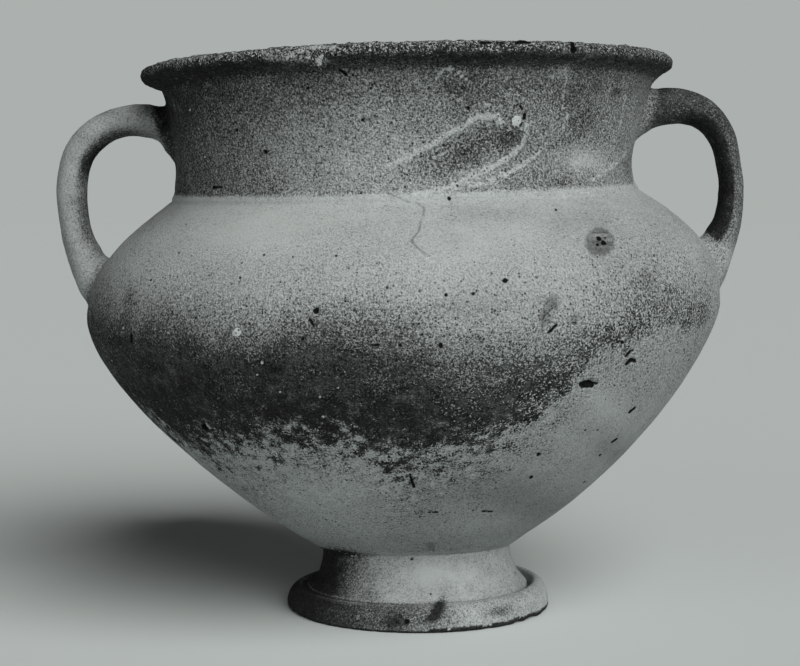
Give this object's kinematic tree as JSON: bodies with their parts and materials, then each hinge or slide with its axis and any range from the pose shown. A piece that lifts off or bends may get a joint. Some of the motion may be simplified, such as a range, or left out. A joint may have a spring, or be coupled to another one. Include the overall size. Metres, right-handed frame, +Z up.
{
  "type": "two-handled pottery jar",
  "caption": "Wide-mouthed pottery jar with an everted lip, upright neck, swelling belly, loop handles and a ring foot, for mixing or storing.",
  "frame": {"origin": "Middle of the jar's bounding box at the floor, with the underside of the foot at z = 0; the foot's own middle is 11.8 mm towards +X, because the pot leans.", "axes": "+Z up; the front that the picture shows faces -Y; the handles stand out along X, the picture's left handle towards -X."},
  "size_m": [0.4296, 0.3928, 0.3439],
  "materials": {
    "fired_clay": "unglazed, worn and pitted, with a dark scorched or stained band, dark blotches and a pale lime crust"
  },
  "bodies": {
    "root": {"jar": "fired_clay"}
  },
  "joints": []
}
